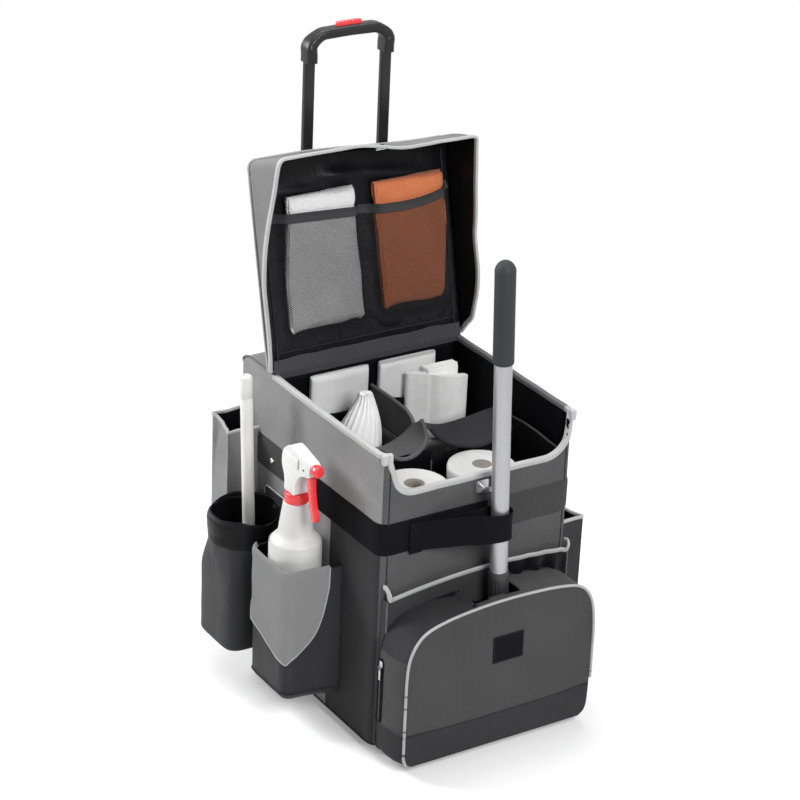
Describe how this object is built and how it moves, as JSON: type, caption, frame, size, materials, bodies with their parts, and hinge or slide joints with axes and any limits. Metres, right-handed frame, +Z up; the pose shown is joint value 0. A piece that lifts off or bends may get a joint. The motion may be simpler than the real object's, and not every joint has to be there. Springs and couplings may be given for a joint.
{
  "type": "cleaning caddy",
  "caption": "Wheeled soft-sided housekeeping caddy with telescopic pull handle, hinged lid, side pouches, front bag and cleaning supplies.",
  "frame": {"origin": "on the floor under the middle of the whole object's footprint", "axes": "+Z up, +Y towards the wheels and pull handle, -Y towards the front bag, +X towards the long side pocket"},
  "size_m": [0.5314, 0.557, 1.085],
  "materials": {
    "grey_fabric": "coated polyester weave, dark grey",
    "lid_fabric": "coated polyester weave, grey",
    "black_fabric": "black webbing and lining",
    "mesh": "fine black mesh",
    "pale_binding": "pale grey sewn binding",
    "pale_flap": "pale grey coated fabric",
    "divider_fabric": "grey padded fabric",
    "black_plastic": "moulded black plastic",
    "black_tube": "black coated steel tube",
    "grip_rubber": "ribbed grey rubber",
    "foot_rubber": "black rubber",
    "tyre": "soft black tyre",
    "steel": "zinc plated steel",
    "chrome": "bright plated metal",
    "aluminium": "satin anodised",
    "red_plastic": "glossy red plastic",
    "white_plastic": "white plastic",
    "bristle": "white bristles",
    "white_cloth": "white cotton cloth",
    "paper": "soft white paper",
    "grey_microfibre": "grey cloth",
    "orange_microfibre": "orange brown cloth"
  },
  "bodies": {
    "bag": {"base_tray": "black_plastic", "front_feet": "foot_rubber", "wheel_housings": "black_plastic", "wheel_axles": "steel", "front_wall": "grey_fabric", "left_wall": "grey_fabric", "right_wall": "grey_fabric", "rear_wall": "grey_fabric", "bulkhead": "black_fabric", "top_cover": "grey_fabric", "edge_binding": "pale_binding", "body_band": "black_fabric", "lid_hinge_tape": "black_fabric", "handle_outer_tubes": "steel", "tube_brackets": "black_plastic", "handle_collars": "black_plastic", "latch_plate": "chrome", "front_pocket": "grey_fabric", "front_pocket_binding": "pale_binding", "front_bag": "grey_fabric", "mop_strap": "black_fabric", "brush_pouch": "black_fabric", "brush_pouch_collar": "black_fabric", "bottle_pouch": "black_fabric", "bottle_pouch_flap": "pale_flap", "left_side_pocket": "grey_fabric", "right_side_pocket": "grey_fabric", "side_pocket_bindings": "pale_binding", "centre_divider": "divider_fabric", "cross_dividers": "divider_fabric", "roll_stacks": "paper", "paper_towels": "paper", "liner_bundle": "white_cloth", "rear_cloths": "white_cloth"},
    "lid": {"lid_panel": "lid_fabric", "lid_skirt": "lid_fabric", "lid_edge_binding": "pale_binding", "lid_eyelet": "chrome", "lid_mesh_pocket": "mesh", "grey_cloth": "grey_microfibre", "orange_cloth": "orange_microfibre"},
    "pull_handle": {"handle_tubes": "black_tube", "handle_grip": "black_plastic"},
    "handle_button": {"release_button": "red_plastic"},
    "left_wheel": {"left_wheel_hub": "black_plastic", "left_tyre": "tyre"},
    "right_wheel": {"right_wheel_hub": "black_plastic", "right_tyre": "tyre"},
    "latch": {"latch_knob": "chrome"},
    "mop_handle": {"mop_grip": "grip_rubber", "mop_tube": "aluminium", "mop_connector": "black_plastic"},
    "bottle": {"spray_bottle": "white_plastic", "sprayer_collar": "red_plastic", "sprayer_head": "white_plastic"},
    "bottle_trigger": {"trigger": "red_plastic"},
    "bottle_nozzle": {"nozzle": "red_plastic"},
    "brush": {"brush_wand": "white_plastic", "brush_head": "bristle"},
    "zip": {"zip_slider": "chrome"}
  },
  "joints": [
    {"name": "lid_hinge", "type": "hinge", "parent": "bag", "child": "lid", "pos_m": [0.03865, 0.1455, 0.5385], "axis": [1, 0, 0], "range_deg": [0, 103.3]},
    {"name": "handle_slide", "type": "slide", "parent": "bag", "child": "pull_handle", "axis": [0, 0, 1], "range_m": [-0.435, 0]},
    {"name": "button_press", "type": "slide", "parent": "pull_handle", "child": "handle_button", "axis": [0, 0, -1], "range_m": [0, 0.003], "stiffness_N_per_m": 400},
    {"name": "left_wheel_spin", "type": "hinge", "parent": "bag", "child": "left_wheel", "pos_m": [-0.11485, 0.2335, 0.045], "axis": [1, 0, 0], "continuous": true},
    {"name": "right_wheel_spin", "type": "hinge", "parent": "bag", "child": "right_wheel", "pos_m": [0.19215, 0.2335, 0.045], "axis": [1, 0, 0], "continuous": true},
    {"name": "latch_turn", "type": "hinge", "parent": "bag", "child": "latch", "pos_m": [0.04265, -0.2115, 0.445], "axis": [0, -1, 0], "range_deg": [0, 90]},
    {"name": "mop_lift", "type": "slide", "parent": "bag", "child": "mop_handle", "axis": [-0.0427, 0, 0.9991], "range_m": [0, 0.3]},
    {"name": "bottle_lift", "type": "slide", "parent": "bag", "child": "bottle", "axis": [0, 0, 1], "range_m": [0, 0.2]},
    {"name": "trigger_pull", "type": "hinge", "parent": "bottle", "child": "bottle_trigger", "pos_m": [-0.19335, -0.0665, 0.46305], "axis": [1, 0, 0], "range_deg": [0, 16], "stiffness_Nm_per_rad": 0.6},
    {"name": "nozzle_turn", "type": "hinge", "parent": "bottle", "child": "bottle_nozzle", "pos_m": [-0.19335, -0.0785, 0.47405], "axis": [0, -1, 0], "range_deg": [0, 180]},
    {"name": "brush_lift", "type": "slide", "parent": "bag", "child": "brush", "axis": [-0.0366, 0, 0.9993], "range_m": [0, 0.25]},
    {"name": "zip_slide", "type": "slide", "parent": "bag", "child": "zip", "axis": [0, 0, -1], "range_m": [0, 0.095]}
  ]
}
